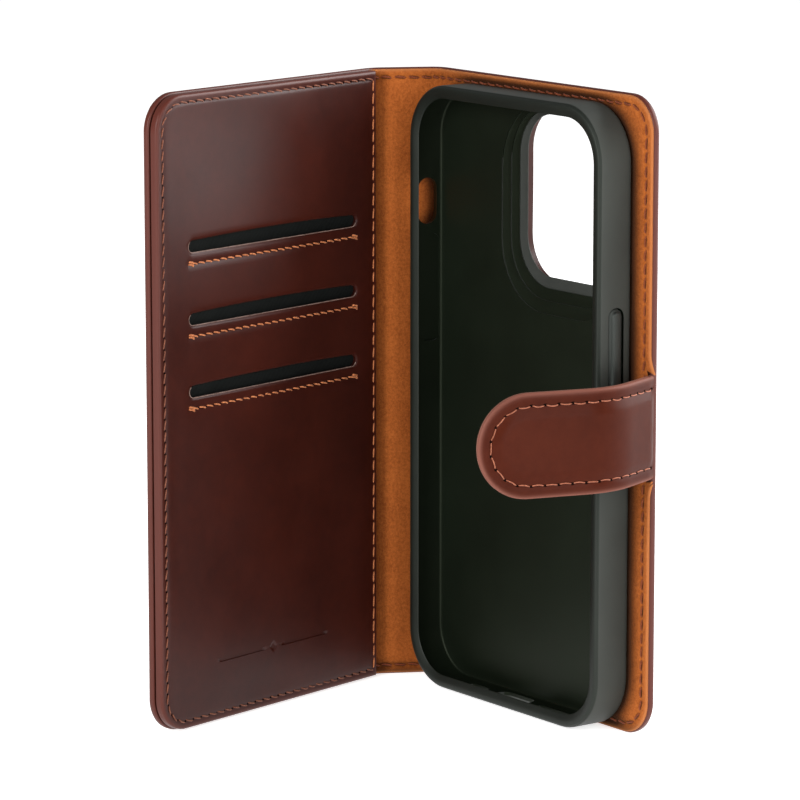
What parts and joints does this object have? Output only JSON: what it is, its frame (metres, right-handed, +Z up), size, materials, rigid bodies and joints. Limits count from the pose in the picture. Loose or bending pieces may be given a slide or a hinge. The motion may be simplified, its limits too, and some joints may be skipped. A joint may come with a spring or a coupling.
{
  "type": "phone wallet case",
  "caption": "Folding leather wallet case with a moulded phone shell, card slots and a magnetic strap.",
  "frame": {"origin": "middle of the standing object's footprint, on the surface it stands on", "axes": "+Z up along the folds, +X from the spine fold to the back panel's free edge, +Y out of the back panel's outer face"},
  "size_m": [0.1012, 0.0958, 0.1545],
  "materials": {
    "polished_leather": "polished, slightly waxy",
    "strap_leather": "polished",
    "strap_backing": "smooth, matt",
    "stiffening_board": "matt",
    "suede_lining": "brushed microfibre",
    "pocket_cloth": "plain weave",
    "thread": "waxed thread",
    "soft_black_plastic": "satin",
    "button_plastic": "satin",
    "adhesive": "foam tape",
    "steel": "plain"
  },
  "bodies": {
    "back": {"back_outer_leather": "polished_leather", "back_board": "stiffening_board", "back_lining": "suede_lining", "back_seam_thread": "thread", "strap_root_tab": "strap_backing", "shell_adhesive_pad": "adhesive", "phone_shell": "soft_black_plastic"},
    "spine": {"spine_outer_leather": "polished_leather", "spine_board": "stiffening_board", "spine_lining": "suede_lining", "spine_seam_thread": "thread"},
    "front": {"front_outer_leather": "polished_leather", "front_board": "stiffening_board", "front_catch_plate": "steel", "front_lining": "suede_lining", "pocket_lining_upper": "pocket_cloth", "pocket_lining_middle": "pocket_cloth", "pocket_lining_lower": "pocket_cloth", "front_seam_thread": "thread", "slot_thread_upper": "thread", "slot_thread_middle": "thread", "slot_thread_lower": "thread", "card_panel_leather": "polished_leather", "spine_edge_thread": "thread"},
    "strap_side": {"strap_side_leather": "strap_leather", "strap_side_lining": "strap_backing", "strap_side_thread": "thread"},
    "strap_tongue": {"strap_tongue_leather": "strap_leather", "strap_tongue_lining": "strap_backing", "strap_tongue_thread": "thread", "strap_magnet_upper": "steel", "strap_magnet_lower": "steel"},
    "volume_up": {"volume_up_button": "button_plastic"},
    "volume_down": {"volume_down_button": "button_plastic"},
    "power": {"power_button": "button_plastic"}
  },
  "joints": [
    {"name": "spine_fold", "type": "hinge", "parent": "back", "child": "spine", "pos_m": [-0.04193, 0.04745, 0.07725], "axis": [0, 0, 1], "range_deg": [-152, 28]},
    {"name": "front_fold", "type": "hinge", "parent": "spine", "child": "front", "pos_m": [-0.05019, 0.03191, 0.07725], "axis": [0, 0, 1], "range_deg": [-131.5, 48.5]},
    {"name": "strap_root_bend", "type": "hinge", "parent": "back", "child": "strap_side", "pos_m": [0.04297, 0.04575, 0.076], "axis": [0, 0, -1], "range_deg": [-76, 22]},
    {"name": "strap_tongue_bend", "type": "hinge", "parent": "strap_side", "child": "strap_tongue", "pos_m": [0.04971, 0.02906, 0.076], "axis": [0, 0, -1], "range_deg": [-52, 52]},
    {"name": "volume_up_press", "type": "slide", "parent": "back", "child": "volume_up", "axis": [1, 0, 0], "range_m": [0, 0.0004], "stiffness_N_per_m": 2000},
    {"name": "volume_down_press", "type": "slide", "parent": "back", "child": "volume_down", "axis": [1, 0, 0], "range_m": [0, 0.0004], "stiffness_N_per_m": 2000},
    {"name": "power_press", "type": "slide", "parent": "back", "child": "power", "axis": [-1, 0, 0], "range_m": [0, 0.0004], "stiffness_N_per_m": 2000}
  ]
}
